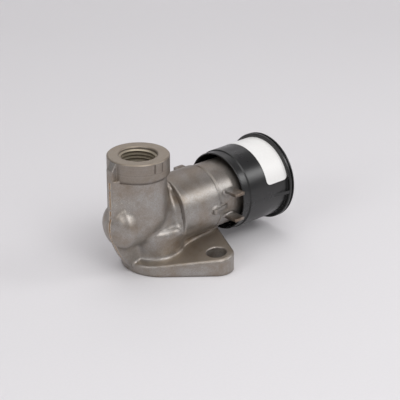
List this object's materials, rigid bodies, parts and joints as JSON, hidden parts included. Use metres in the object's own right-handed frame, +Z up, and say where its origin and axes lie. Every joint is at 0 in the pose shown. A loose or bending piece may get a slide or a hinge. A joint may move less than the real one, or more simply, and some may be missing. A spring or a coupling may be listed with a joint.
{
  "type": "quick release valve",
  "caption": "Flange-mounted air brake quick release valve: cast body with threaded top port and side barrel ending in a twist-lock silencer cap with a blank label.",
  "frame": {"origin": "where the supply port's axis meets the mounting face", "axes": "+Z up along the supply port, +X along the barrel towards the silencer cap"},
  "size_m": [0.0883, 0.0594, 0.052],
  "materials": {
    "casting": "die cast, satin",
    "turned_aluminium": "turned",
    "brass": "turned",
    "steel": "bright spring steel",
    "seal_rubber": "matt",
    "bush_plastic": "plain",
    "black_plastic": "satin moulded",
    "packing": "felted",
    "label": "coated"
  },
  "bodies": {
    "body": {"housing": "casting", "base_seal": "seal_rubber", "exhaust_seat": "turned_aluminium", "guide_bush": "bush_plastic", "seat_seal": "seal_rubber", "snap_ring": "steel", "return_spring": "steel"},
    "valve_member": {"valve_stem": "brass", "valve_cup": "seal_rubber", "valve_washers": "steel", "valve_clip": "steel"},
    "silencer_cap": {"cap_shell": "black_plastic", "cap_gasket": "seal_rubber", "baffle_plate": "black_plastic", "pack_screens": "steel", "silencer_pack": "packing", "label": "label"}
  },
  "joints": [
    {"name": "valve_slide", "type": "slide", "parent": "body", "child": "valve_member", "axis": [1, 0, 0], "range_m": [0, 0.0025], "stiffness_N_per_m": 600, "springref_m": -0.002, "deforming": ["return_spring"]},
    {"name": "cap_turn", "type": "hinge", "parent": "body", "child": "silencer_cap", "pos_m": [0.06, 0, 0.0226], "axis": [-1, 0, 0], "range_deg": [0, 45]}
  ]
}
